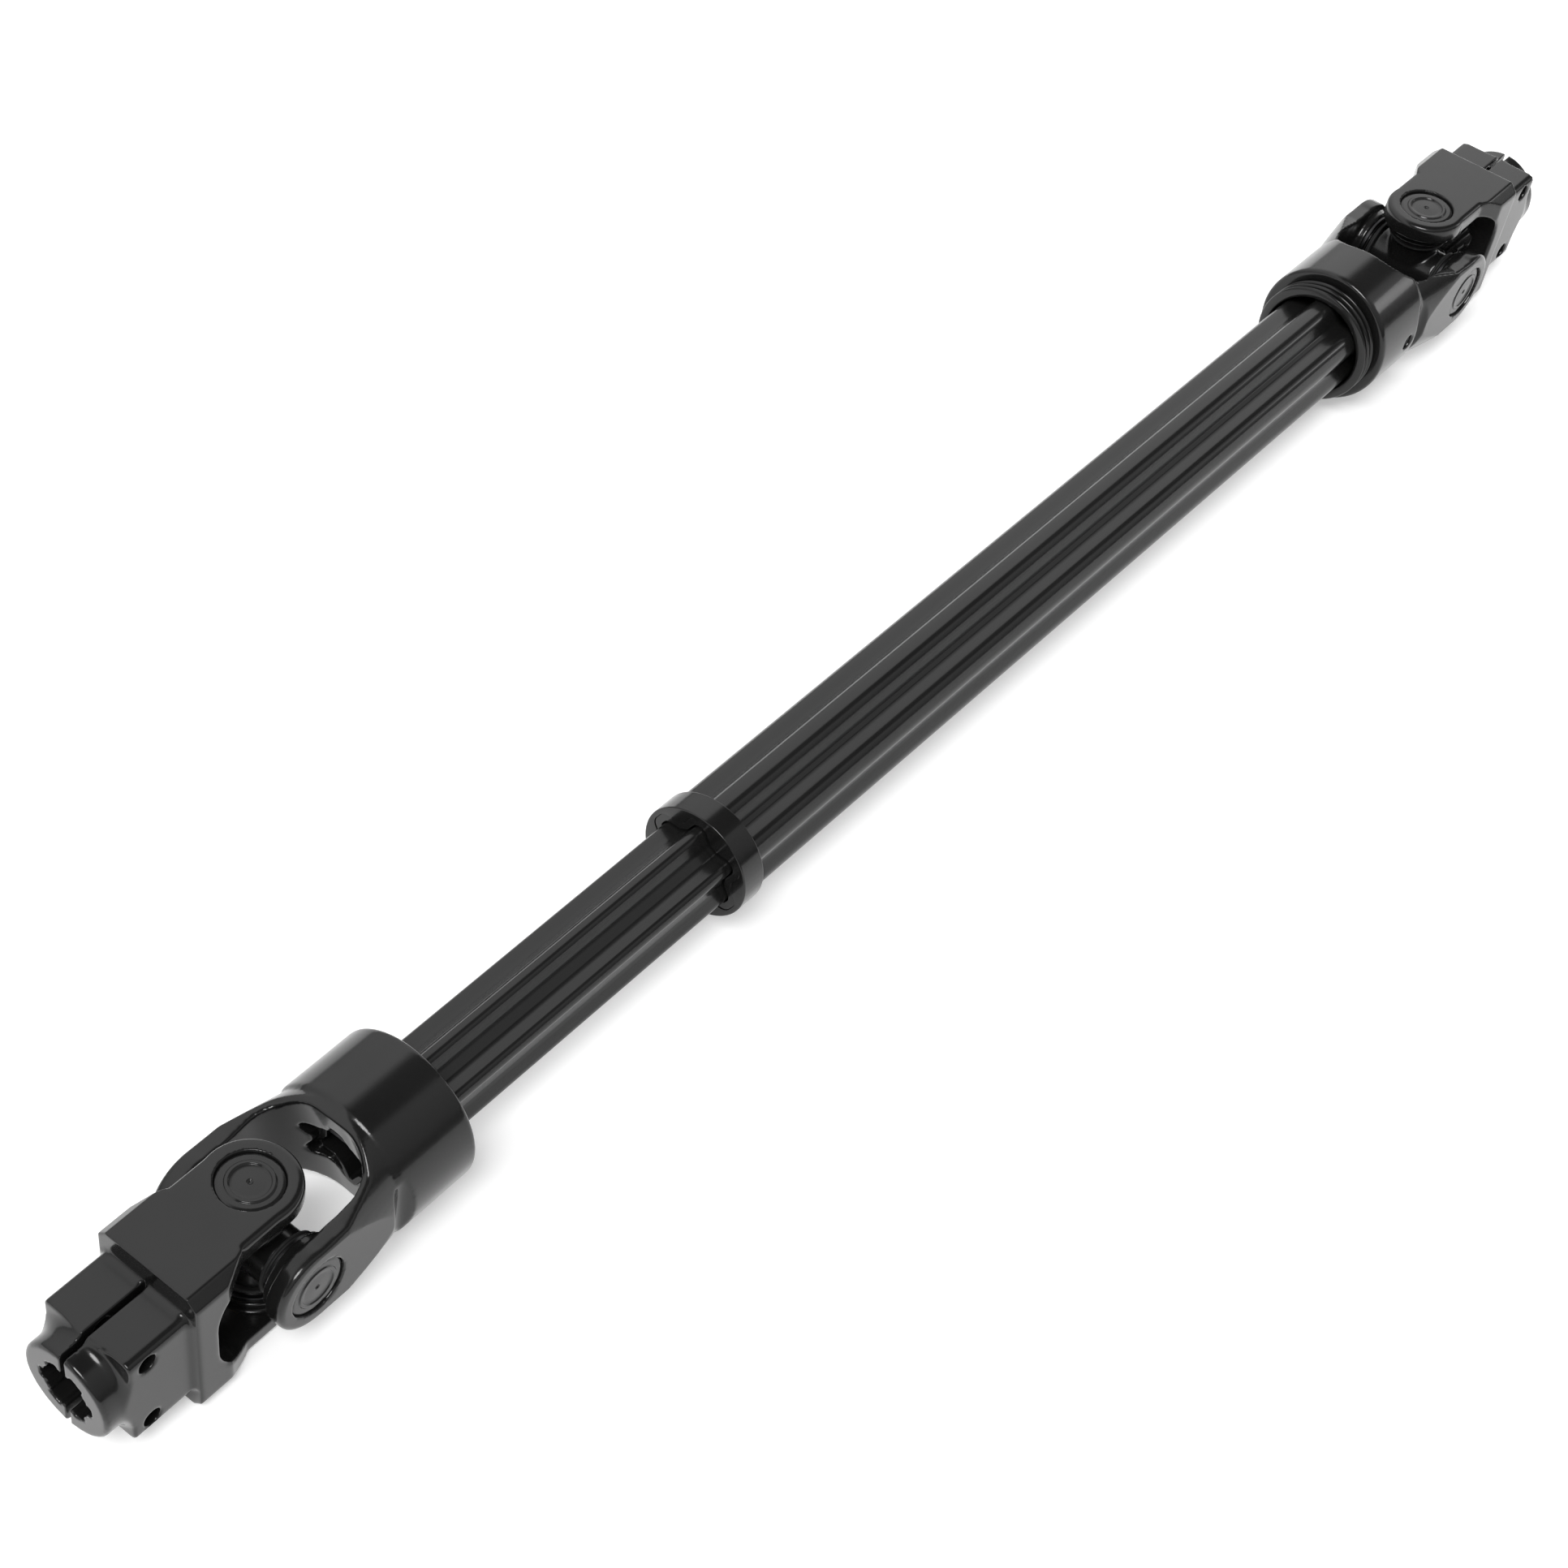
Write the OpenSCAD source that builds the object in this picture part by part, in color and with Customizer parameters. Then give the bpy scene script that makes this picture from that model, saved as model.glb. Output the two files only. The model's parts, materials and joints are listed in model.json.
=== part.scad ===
// Telescopic universal joint shaft.
// Two splined clamp yokes, two cross joints on needle bearings, and a
// six-lobed inner tube that slides inside a matching outer tube.
// +X runs along the shaft from the front clamp yoke to the rear one, +Z is up,
// and the origin is the centre of the front clamp yoke's bore mouth.

/* [Overall] */
// Front joint centre to rear joint centre at rest
joint_span = 1100; // [900:5:1400]
// Clamp yoke nose face to its joint centre
yoke_reach = 121.5; // [110:0.5:145]
// Width over a pair of ears
ear_span = 90; // [84:1:108]

/* [Clamp yoke] */
// Outside diameter of the round nose
nose_d = 56; // [50:1:64]
// Length of the round nose in front of the clamp block
nose_len = 15.5; // [12:0.5:20]
// Radius of the blend from the nose into the clamp block
nose_blend = 7; // [3:0.5:9]
// Clamp block width
block_w = 57; // [52:1:64]
// Clamp block height
block_h = 63; // [58:1:76]
// Corner radius of the clamp block
block_round = 4; // [2:0.5:6]
// Nose face to the front wall of the yoke body
body_at = 54; // [50:0.5:58]
// Width of the yoke body
body_w = 66; // [60:1:76]
// Chamfer on the long edges of the yoke body
body_chamfer = 6; // [3:0.5:8]
// Blend between the clamp block and the body
block_blend = 4.2; // [2:0.1:4.4]
// Width of the clamping slit
slit_w = 3; // [2:0.5:5]
// Clamp screw hole diameter
screw_d = 10.5; // [8.5:0.5:12.5]
// Distance between the two clamp screw holes
screw_pitch = 47; // [44:0.5:52]
// Nose face to the clamp screw holes
screw_at = 27; // [24:0.5:32]

/* [Spline bore] */
// Diameter at the bottom of the spline grooves
spline_major_d = 34.9; // [33:0.1:36]
// Diameter over the spline lands
spline_minor_d = 29.9; // [28:0.1:31]
// Width of one spline groove
spline_w = 8.7; // [7:0.1:10]

/* [Ears and fork] */
// Diameter of the rounded ear tips
ear_tip_d = 52; // [48:1:56]
// Rounding of the ear edges
ear_round = 3; // [1:0.5:5]
// Clear width of a fork behind the bearing bosses
fork_w = 68; // [62:1:72]
// Corner radius at the bottom of a fork
fork_round = 26; // [15:1:30]
// Joint centre to the bottom of the clamp yoke fork
clamp_fork = 54; // [53:0.5:60]
// Joint centre to the bottom of the shaft yoke fork
shaft_fork = 62; // [58:0.5:66]
// Tilt of the shaft yoke fork's floor about the joint, which clears one side more than the other
fork_tilt = 12.5; // [0:0.5:14]
// Distance between the bearing boss faces inside a fork
boss_gap = 57; // [54:0.5:60]
// Bearing boss diameter
boss_d = 44; // [41:1:50]

/* [Shaft yoke hub] */
// Hub diameter
hub_d = 91; // [86:1:100]
// Joint centre to the tube side face of the hub
hub_reach = 112; // [106:0.5:130]
// Length of the round hub
hub_len = 52; // [42:0.5:60]
// Height of the neck where it meets the hub
neck_h = 80; // [74:1:84]
// Height of the flat on the outside of a shaft yoke ear
flat_h = 53; // [48:1:56]
// Radius of the scoop between an ear and the hub
scoop_r = 6.5; // [4:0.5:9]
// Depth of the round tube mouth in the front hub
front_mouth = 6; // [2:1:20]
// Joint centre to the tube pin
pin_at = 76; // [76:0.5:84]
// Tube pin diameter
pin_d = 10; // [6:0.5:12]

/* [Bearing] */
// Bearing cup outside diameter
cup_d = 35; // [34:0.5:38]
// How far the cup end sits below the ear face
cup_inset = 1.2; // [0.8:0.1:2]
// Thickness of the cup end
cup_floor = 4; // [3:0.5:5]
// Trunnion diameter
trunnion_d = 24; // [20:0.5:24]
// Needle roller diameter
needle_d = 3; // [2:0.1:3]
// Needle rollers in one bearing
needle_count = 24; // [16:1:26]
// Diameter of the cross arms behind the trunnions
arm_d = 32; // [28:1:36]
// Inside diameter of the raised ring on a cup end
cup_ring_d = 20.6; // [16:0.2:26]
// Thickness of a snap ring
snap_t = 1.8; // [1.2:0.1:2.2]

/* [Tubes] */
// Inner tube width over the lobes
inner_d = 53.2; // [50:0.2:56]
// Inner tube width over the sloping lobe sides
inner_side_d = 31.4; // [30:0.2:33]
// Inner tube width over the valley floors
inner_valley_d = 39.8; // [38:0.2:42]
// Corner radius of a lobe on the inner tube
inner_round = 3.7; // [3.4:0.1:4]
// Inner tube wall
inner_wall = 3; // [2:0.1:3.2]
// Outer tube wall
outer_wall = 4.9; // [4:0.1:6]
// Corner radius of a lobe on the outer tube
outer_round = 6.6; // [4.5:0.1:8]
// Sliding gap between the tubes
slide_gap = 0.4; // [0.3:0.05:0.8]
// Front joint centre to the front face of the tube collar
collar_at = 337.5; // [300:0.5:420]
// Tube collar length
collar_len = 16.5; // [10:0.5:24]
// Tube collar diameter
collar_d = 70; // [68:0.5:78]
// How far the outer tube's end sits inside the collar
collar_lip = 0.5; // [0:0.1:3]
// Length of inner tube inside the outer tube at rest
overlap = 400; // [300:5:430]

/* [Lock ring] */
// Outside diameter of the ring between the outer tube and the rear hub
ring_d = 79; // [76:0.5:84]
// Bore of the ring round the outer tube
ring_bore_d = 66.5; // [65:0.5:70]
// How far the ring stands out of the hub
ring_out = 14; // [6:0.5:16]
// How far the ring goes into the hub
ring_in = 12; // [6:0.5:18]
// Depth of the ridges on the ring
ridge_depth = 2.4; // [1:0.2:3]

/* [Hidden] */
$fn = 72;

// Allowance that carries a cut through a face
cut = 1;
// Running clearance on a radius inside a bearing
run = 0.06;
// Gap between neighbouring parts that turn against each other
gap = 0.4;
// Small chamfer on turned edges
edge = 1.5;

// Stations of the two joints along the shaft
front_x = yoke_reach;
rear_x = yoke_reach + joint_span;

// How much narrower an ear is than its round tip
ear_step = 1;
// Straight run of an ear behind its round tip
ear_run = 4;

// Clamp yoke stations, measured from the joint centre towards the nose
block_front = yoke_reach - nose_len;
body_front = yoke_reach - body_at;
shoulder = (body_front + ear_tip_d / 2) / 2;
ear_root = ear_tip_d / 2 + ear_run;
ear_w = ear_tip_d - ear_step;

// Shaft yoke stations, measured from the joint centre towards the tube
tube_stop = 7;
hub_front = hub_reach - hub_len;
tube_end = shaft_fork + tube_stop;
neck_from = ear_tip_d / 2 - ear_run;
neck_mid = hub_front - 14;
neck_to = hub_front - 5.5;
neck_rise = 5;
hub_step = 1.5;
neck_end_h = hub_d - 2 * hub_step;
ear_corner_r = norm([ear_span / 2, flat_h / 2]);
scoop_out = 1;

// Bearing stack, measured from the joint centre along a trunnion
ear_face = ear_span / 2;
boss_face = boss_gap / 2;
cup_out = ear_face - cup_inset;
trunnion_end = cup_out - cup_floor - gap;
cup_bore_r = trunnion_d / 2 + needle_d + 2 * run;
snap_from = boss_face - snap_t;
snap_groove = (cup_d / 2 - cup_bore_r) / 3;
snap_band = 3;
snap_mouth = 8;
cup_back = 0.8;
cup_in = snap_from - cup_back;
needle_inset = 1.2;
needle_from = cup_in + needle_inset;
needle_to = trunnion_end - gap;
seal_out = cup_in - gap;
seal_t = 3;
seal_flange = 0.6 * seal_t;
arm_end = seal_out - seal_t;
seal_d = cup_d + 2;
seal_lip_d = cup_d - 1;
cross_core_r = arm_d / 2 + 2;
rib_w = 2.2;
rib_h = 0.7;
grease_r = 2.5;

// Grease nipple, measured outwards from its boss
nipple_r = 3;
nipple_boss_r = 8;
nipple_boss_end = arm_d / 2 + 3;
nipple_root = 9;
nipple_hex_d = 9;
nipple_hex_h = 3;
nipple_neck_h = 3.5;
nipple_neck_r1 = 2.7;
nipple_neck_r2 = 1.8;
nipple_ball_r = 2.25;
nipple_ball_at = 7;

// Lobed tube sections
lobes = 6;
lobe_turn = 30;
corner_step = 10;
hollow_round = 1;

// Tube stations
outer_from = front_x + collar_at + collar_lip;
outer_to = rear_x - tube_end;
inner_from = front_x + tube_end;
inner_to = outer_from + overlap;
pin_inset = 2;
pin_len = hub_d - 10;
pin_wall = 1.8;
pin_slot = 1;

// Ridges of the lock ring
ridges = 3;
ridge_pitch = ring_out / ridges;
ridge_r = 0.35 * ridge_pitch;

// ---- Helpers ----

// Turns a section drawn in Y and Z so that it extrudes along +X
module section_x() {
    rotate([90, 0, 90]) children();
}

// Turns an outline drawn in X and Z so that it extrudes along Y
module outline_y() {
    rotate([90, 0, 0]) children();
}

module at_front() {
    translate([front_x, 0, 0]) children();
}

// The rear joint is the front one turned half a turn about Y
module at_rear() {
    translate([rear_x, 0, 0]) rotate([0, 180, 0]) children();
}

module rounded_rect(w, h, r) {
    square([w, h - 2 * r], center = true);
    square([w - 2 * r, h], center = true);
    for (sx = [-1, 1], sy = [-1, 1]) {
        translate([sx * (w / 2 - r), sy * (h / 2 - r)]) circle(r);
    }
}

// Rectangle with its corners cut by cx along x and cy along y
module chamfered_rect(w, h, cx, cy) {
    polygon([
        [w / 2 - cx, -h / 2], [w / 2, -h / 2 + cy], [w / 2, h / 2 - cy], [w / 2 - cx, h / 2],
        [-w / 2 + cx, h / 2], [-w / 2, h / 2 - cy], [-w / 2, -h / 2 + cy], [-w / 2 + cx, -h / 2]
    ]);
}

// Quarter-round blend filling the corner at the origin, opening to +x and +y
module blend_corner(r) {
    difference() {
        translate([-cut, -cut]) square([r + cut, r + cut]);
        translate([r, r]) circle(r);
    }
}

// Six lobes with flat tops and sides sloping at 60 degrees, round a six-sided core:
// tip_r to the lobe tops, side_r square to their sides, floor_r to the valley floors
module lobed(tip_r, side_r, floor_r, corner_r) {
    out = tip_r - corner_r;
    off = (side_r - corner_r - out * cos(60)) / sin(60);
    foot_x = floor_r / cos(30) * 1.5 - side_r;
    foot_y = side_r * tan(60) - floor_r;
    lobe = concat(
        [[foot_x, -foot_y]],
        [for (a = [-60 : corner_step : 0]) [out + corner_r * cos(a), -off + corner_r * sin(a)]],
        [for (a = [0 : corner_step : 60]) [out + corner_r * cos(a), off + corner_r * sin(a)]],
        [[foot_x, foot_y]]
    );
    polygon([
        for (i = [0 : lobes - 1], p = lobe) let (a = lobe_turn + i * 360 / lobes)
            [p[0] * cos(a) - p[1] * sin(a), p[0] * sin(a) + p[1] * cos(a)]
    ]);
}

// The inner tube's outline with its lobes, sides and floors moved out by grow
module grown_section(grow, corner_r) {
    lobed(inner_d / 2 + grow, inner_side_d / 2 + grow, inner_valley_d / 2 + grow, corner_r);
}

module inner_section() {
    grown_section(0, inner_round);
}

module outer_section() {
    grown_section(slide_gap + outer_wall, outer_round);
}

module spline_section() {
    circle(d = spline_minor_d);
    intersection() {
        circle(d = spline_major_d);
        for (i = [0 : 5]) {
            rotate(i * 60) translate([0, -spline_w / 2]) square([spline_major_d, spline_w]);
        }
    }
}

// Round ear tip with rounded rims, about Z
module ear_tip() {
    rotate_extrude() intersection() {
        rounded_rect(ear_tip_d, ear_span, ear_round);
        translate([0, -ear_face]) square([ear_tip_d, ear_span]);
    }
}

// Open space of a fork, drawn for ears above and below and a floor at -depth,
// with the bearing bosses left standing
module fork_space(depth) {
    reach = ear_tip_d;
    difference() {
        outline_y() linear_extrude(2 * ear_span, center = true) {
            translate([(reach - depth) / 2, 0]) rounded_rect(reach + depth, fork_w, fork_round);
        }
        for (s = [-1, 1]) {
            translate([0, 0, s * (boss_face + ear_span / 2)])
                cylinder(h = ear_span, d = boss_d, center = true);
        }
    }
}

// ---- Clamp yoke, nose towards -X, ears above and below ----

module clamp_nose() {
    translate([-yoke_reach, 0, 0]) rotate([0, 90, 0]) rotate_extrude() polygon([
        [0, 0], [nose_d / 2 - edge, 0], [nose_d / 2, edge],
        [nose_d / 2, nose_len + cut], [0, nose_len + cut]
    ]);
    intersection() {
        translate([-block_front, 0, 0]) rotate([0, 90, 0]) rotate_extrude()
            translate([nose_d / 2, 0]) mirror([0, 1]) blend_corner(nose_blend);
        translate([-yoke_reach, 0, 0]) section_x() linear_extrude(nose_len + cut)
            rounded_rect(block_w, block_h, block_round);
    }
}

module clamp_block() {
    translate([-block_front, 0, 0]) section_x() linear_extrude(block_front - body_front + cut)
        rounded_rect(block_w, block_h, block_round);
    for (s = [0, 1]) {
        mirror([0, 0, s]) translate([-body_front, 0, block_h / 2]) outline_y()
            linear_extrude(block_w - 2 * block_round, center = true)
                mirror([1, 0]) blend_corner(block_blend);
        mirror([0, s, 0]) translate([-body_front, block_w / 2, 0])
            linear_extrude(block_h - 2 * block_round, center = true)
                mirror([1, 0]) blend_corner(block_blend);
    }
}

module clamp_body() {
    ear_tip();
    translate([-shoulder, 0, 0]) section_x() linear_extrude(shoulder)
        rounded_rect(ear_w, ear_span, ear_round);
    intersection() {
        linear_extrude(ear_span, center = true) polygon([
            [-body_front, -body_w / 2], [-shoulder, -body_w / 2], [-ear_root, -ear_w / 2],
            [-ear_root, ear_w / 2], [-shoulder, body_w / 2], [-body_front, body_w / 2]
        ]);
        translate([-body_front, 0, 0]) section_x() linear_extrude(body_front)
            chamfered_rect(body_w, ear_span, body_chamfer, body_chamfer);
    }
}

module clamp_yoke() {
    difference() {
        union() {
            clamp_nose();
            clamp_block();
            clamp_body();
        }
        fork_space(clamp_fork);
        cylinder(h = ear_span + cut, d = cup_d, center = true);
        translate([-yoke_reach - cut, 0, 0]) section_x() linear_extrude(yoke_reach) spline_section();
        translate([-yoke_reach - cut, -slit_w / 2, -ear_face]) cube([body_at + cut, slit_w, ear_span]);
        for (s = [-1, 1]) {
            translate([screw_at - yoke_reach, 0, s * screw_pitch / 2]) rotate([90, 0, 0])
                cylinder(h = body_w + cut, d = screw_d, center = true);
        }
    }
}

// ---- Shaft yoke, hub towards +X, ears at the sides ----

module shaft_neck() {
    intersection() {
        outline_y() linear_extrude(ear_span, center = true) polygon([
            [0, -ear_w / 2], [neck_from, -flat_h / 2], [neck_mid, -flat_h / 2 - neck_rise],
            [neck_to, -neck_h / 2], [hub_front, -neck_end_h / 2], [hub_front + cut, -neck_end_h / 2],
            [hub_front + cut, neck_end_h / 2], [hub_front, neck_end_h / 2],
            [neck_to, neck_h / 2], [neck_mid, flat_h / 2 + neck_rise],
            [neck_from, flat_h / 2], [0, ear_w / 2]
        ]);
        rotate([0, 90, 0]) rotate_extrude() polygon([
            [0, 0], [ear_corner_r - ear_round / 2, 0], [ear_corner_r - ear_round / 2, neck_from],
            [hub_d / 2 - hub_step, hub_front], [hub_d / 2 - hub_step, hub_front + cut], [0, hub_front + cut]
        ]);
    }
}

module hub() {
    translate([hub_front, 0, 0]) rotate([0, 90, 0]) rotate_extrude() polygon([
        [0, 0], [hub_d / 2 - edge, 0], [hub_d / 2, edge], [hub_d / 2, hub_len - edge],
        [hub_d / 2 - edge, hub_len], [0, hub_len]
    ]);
}

// The children draw the tube's section; the round mouth round it is mouth_d wide and mouth_len deep.
// The pin's hole opens on the pin_side of Y and stops short of the other side.
module shaft_yoke(mouth_d, mouth_len, pin_side) {
    difference() {
        union() {
            rotate([90, 0, 0]) ear_tip();
            shaft_neck();
            hub();
        }
        rotate([0, -fork_tilt, 0]) rotate([90, 0, 180]) fork_space(shaft_fork);
        rotate([90, 0, 0]) cylinder(h = ear_span + cut, d = cup_d, center = true);
        translate([ear_root, 0, 0]) section_x() linear_extrude(hub_reach) children();
        translate([hub_reach - mouth_len, 0, 0]) rotate([0, 90, 0])
            cylinder(h = mouth_len + cut, d = mouth_d);
        translate([pin_at, pin_side * (hub_d / 2 + cut), 0]) rotate([pin_side * 90, 0, 0])
            cylinder(h = pin_len + pin_inset + cut, d = pin_d);
        for (s = [-1, 1]) {
            translate([hub_front, s * (hub_d / 2 + scoop_out), 0])
                cylinder(h = hub_d, r = scoop_r, center = true);
        }
    }
}

// Rolled spring pin with a slot, along Y from its outer end
module tube_pin(pin_side) {
    translate([pin_at, pin_side * (hub_d / 2 - pin_inset), 0]) rotate([pin_side * 90, 0, 0])
        linear_extrude(pin_len) difference() {
            circle(d = pin_d);
            circle(d = pin_d - 2 * pin_wall);
            translate([0, -pin_slot / 2]) square([pin_d, pin_slot]);
        }
}

// ---- Cross and bearings ----

module cross() {
    difference() {
        union() {
            sphere(r = cross_core_r);
            for (a = [0, 90]) {
                rotate([a, 0, 0]) cylinder(h = 2 * arm_end, d = arm_d, center = true);
                rotate([a, 0, 0]) rotate_extrude() polygon([
                    [0, -trunnion_end], [trunnion_d / 2 - edge, -trunnion_end],
                    [trunnion_d / 2, -trunnion_end + edge], [trunnion_d / 2, trunnion_end - edge],
                    [trunnion_d / 2 - edge, trunnion_end], [0, trunnion_end]
                ]);
            }
            translate([-nipple_boss_end, 0, 0]) rotate([0, 90, 0])
                cylinder(h = nipple_boss_end, r = nipple_boss_r);
        }
        for (a = [0, 90]) {
            rotate([a, 0, 0]) cylinder(h = 2 * trunnion_end + cut, r = grease_r, center = true);
        }
        translate([-nipple_boss_end - cut, 0, 0]) rotate([0, 90, 0])
            cylinder(h = nipple_boss_end + cut, r = nipple_r);
    }
}

module grease_nipple() {
    translate([-nipple_boss_end, 0, 0]) rotate([0, -90, 0]) {
        translate([0, 0, -nipple_root]) cylinder(h = nipple_root, r = nipple_r);
        cylinder(h = nipple_hex_h, d = nipple_hex_d, $fn = 6);
        translate([0, 0, nipple_hex_h])
            cylinder(h = nipple_neck_h, r1 = nipple_neck_r1, r2 = nipple_neck_r2);
        translate([0, 0, nipple_ball_at]) sphere(r = nipple_ball_r);
    }
}

module cup() {
    difference() {
        translate([0, 0, cup_in]) cylinder(h = cup_out - cup_in, d = cup_d);
        translate([0, 0, cup_in - cut]) cylinder(h = cup_out - cup_floor - cup_in + cut, r = cup_bore_r);
        translate([0, 0, snap_from]) difference() {
            cylinder(h = snap_t, d = cup_d + cut);
            translate([0, 0, -cut]) cylinder(h = snap_t + 2 * cut, r = cup_d / 2 - snap_groove);
        }
    }
    translate([0, 0, cup_out]) difference() {
        cylinder(h = rib_h, d = cup_ring_d + 2 * rib_w);
        translate([0, 0, -cut]) cylinder(h = rib_h + 2 * cut, d = cup_ring_d);
    }
}

module needles() {
    pitch_r = trunnion_d / 2 + run + needle_d / 2;
    for (i = [0 : needle_count - 1]) {
        rotate(i * 360 / needle_count) translate([pitch_r, 0, needle_from])
            cylinder(h = needle_to - needle_from, d = needle_d);
    }
}

// Lip seal pressed on the trunnion's foot
module seal() {
    translate([0, 0, arm_end]) difference() {
        union() {
            cylinder(h = seal_flange, d = seal_d);
            cylinder(h = seal_t, d = seal_lip_d);
        }
        translate([0, 0, -cut]) cylinder(h = seal_t + 2 * cut, d = trunnion_d);
    }
}

// Open snap ring bearing on the inside of a boss
module snap_ring() {
    translate([0, 0, snap_from]) linear_extrude(snap_t) difference() {
        circle(d = cup_d + 2 * snap_band);
        circle(r = cup_d / 2 - snap_groove);
        translate([-cup_d, -snap_mouth / 2]) square([cup_d, snap_mouth]);
    }
}

module up() {
    children();
}

module down() {
    rotate([180, 0, 0]) children();
}

module left() {
    rotate([90, 0, 0]) children();
}

module right() {
    rotate([-90, 0, 0]) children();
}

// ---- Tubes ----

module outer_tube() {
    color([0.08, 0.08, 0.08]) translate([outer_from, 0, 0]) difference() {
        section_x() linear_extrude(outer_to - outer_from) outer_section();
        translate([-cut, 0, 0]) section_x() linear_extrude(outer_to - outer_from + 2 * cut)
            grown_section(slide_gap, inner_round + slide_gap);
        translate([outer_to - outer_from + tube_end - pin_at, 0, 0]) rotate([90, 0, 0])
            cylinder(h = hub_d, d = pin_d, center = true);
    }
}

module inner_tube() {
    color([0.08, 0.08, 0.08]) translate([inner_from, 0, 0]) difference() {
        section_x() linear_extrude(inner_to - inner_from) inner_section();
        translate([-cut, 0, 0]) section_x() linear_extrude(inner_to - inner_from + 2 * cut)
            grown_section(-inner_wall, hollow_round);
        translate([pin_at - tube_end, 0, 0]) rotate([90, 0, 0])
            cylinder(h = hub_d, d = pin_d, center = true);
    }
}

module tube_collar() {
    color([0.07, 0.07, 0.07]) translate([front_x + collar_at, 0, 0]) difference() {
        rotate([0, 90, 0]) rotate_extrude() polygon([
            [0, 0], [collar_d / 2 - edge, 0], [collar_d / 2, edge], [collar_d / 2, collar_len - edge],
            [collar_d / 2 - edge, collar_len], [0, collar_len]
        ]);
        translate([-cut, 0, 0]) section_x() linear_extrude(collar_len + 2 * cut) outer_section();
    }
}

module lock_ring() {
    body_r = ring_d / 2 - ridge_depth;
    color([0.07, 0.07, 0.07]) translate([rear_x - hub_reach, 0, 0]) rotate([0, 90, 0]) rotate_extrude() {
        translate([ring_bore_d / 2, -ring_out]) square([body_r - ring_bore_d / 2, ring_out + ring_in]);
        for (i = [0 : ridges - 1]) {
            translate([body_r + ridge_depth - ridge_r, -ring_out + ridge_pitch * i + ridge_r]) {
                circle(ridge_r);
                translate([-ridge_depth, -ridge_r]) square([ridge_depth, 2 * ridge_r]);
            }
        }
    }
}

// ---- Front joint ----

module front_clamp_yoke() {
    color([0.09, 0.09, 0.09]) at_front() clamp_yoke();
}

module front_shaft_yoke() {
    color([0.08, 0.08, 0.08]) at_front() shaft_yoke(inner_d + 2 * edge, front_mouth, 1) inner_section();
}

module front_cross() {
    color([0.25, 0.25, 0.26]) at_front() cross();
}

module front_tube_pin() {
    color([0.2, 0.2, 0.21]) at_front() tube_pin(1);
}

module front_grease_nipple() {
    color([0.6, 0.6, 0.58]) at_front() grease_nipple();
}

module front_cup_top() {
    color([0.1, 0.1, 0.1]) at_front() up() cup();
}

module front_cup_bottom() {
    color([0.1, 0.1, 0.1]) at_front() down() cup();
}

module front_cup_left() {
    color([0.1, 0.1, 0.1]) at_front() left() cup();
}

module front_cup_right() {
    color([0.1, 0.1, 0.1]) at_front() right() cup();
}

module front_needles_top() {
    color([0.5, 0.5, 0.52]) at_front() up() needles();
}

module front_needles_bottom() {
    color([0.5, 0.5, 0.52]) at_front() down() needles();
}

module front_needles_left() {
    color([0.5, 0.5, 0.52]) at_front() left() needles();
}

module front_needles_right() {
    color([0.5, 0.5, 0.52]) at_front() right() needles();
}

module front_seal_top() {
    color([0.05, 0.05, 0.05]) at_front() up() seal();
}

module front_seal_bottom() {
    color([0.05, 0.05, 0.05]) at_front() down() seal();
}

module front_seal_left() {
    color([0.05, 0.05, 0.05]) at_front() left() seal();
}

module front_seal_right() {
    color([0.05, 0.05, 0.05]) at_front() right() seal();
}

module front_snap_top() {
    color([0.16, 0.16, 0.17]) at_front() up() snap_ring();
}

module front_snap_bottom() {
    color([0.16, 0.16, 0.17]) at_front() down() snap_ring();
}

module front_snap_left() {
    color([0.16, 0.16, 0.17]) at_front() left() snap_ring();
}

module front_snap_right() {
    color([0.16, 0.16, 0.17]) at_front() right() snap_ring();
}

// ---- Rear joint ----

module rear_clamp_yoke() {
    color([0.09, 0.09, 0.09]) at_rear() clamp_yoke();
}

module rear_shaft_yoke() {
    color([0.08, 0.08, 0.08]) at_rear() shaft_yoke(ring_d - 2 * ridge_depth, ring_in, -1) outer_section();
}

module rear_cross() {
    color([0.25, 0.25, 0.26]) at_rear() cross();
}

module rear_tube_pin() {
    color([0.2, 0.2, 0.21]) at_rear() tube_pin(-1);
}

module rear_grease_nipple() {
    color([0.6, 0.6, 0.58]) at_rear() grease_nipple();
}

module rear_cup_top() {
    color([0.1, 0.1, 0.1]) at_rear() up() cup();
}

module rear_cup_bottom() {
    color([0.1, 0.1, 0.1]) at_rear() down() cup();
}

module rear_cup_left() {
    color([0.1, 0.1, 0.1]) at_rear() left() cup();
}

module rear_cup_right() {
    color([0.1, 0.1, 0.1]) at_rear() right() cup();
}

module rear_needles_top() {
    color([0.5, 0.5, 0.52]) at_rear() up() needles();
}

module rear_needles_bottom() {
    color([0.5, 0.5, 0.52]) at_rear() down() needles();
}

module rear_needles_left() {
    color([0.5, 0.5, 0.52]) at_rear() left() needles();
}

module rear_needles_right() {
    color([0.5, 0.5, 0.52]) at_rear() right() needles();
}

module rear_seal_top() {
    color([0.05, 0.05, 0.05]) at_rear() up() seal();
}

module rear_seal_bottom() {
    color([0.05, 0.05, 0.05]) at_rear() down() seal();
}

module rear_seal_left() {
    color([0.05, 0.05, 0.05]) at_rear() left() seal();
}

module rear_seal_right() {
    color([0.05, 0.05, 0.05]) at_rear() right() seal();
}

module rear_snap_top() {
    color([0.16, 0.16, 0.17]) at_rear() up() snap_ring();
}

module rear_snap_bottom() {
    color([0.16, 0.16, 0.17]) at_rear() down() snap_ring();
}

module rear_snap_left() {
    color([0.16, 0.16, 0.17]) at_rear() left() snap_ring();
}

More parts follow.
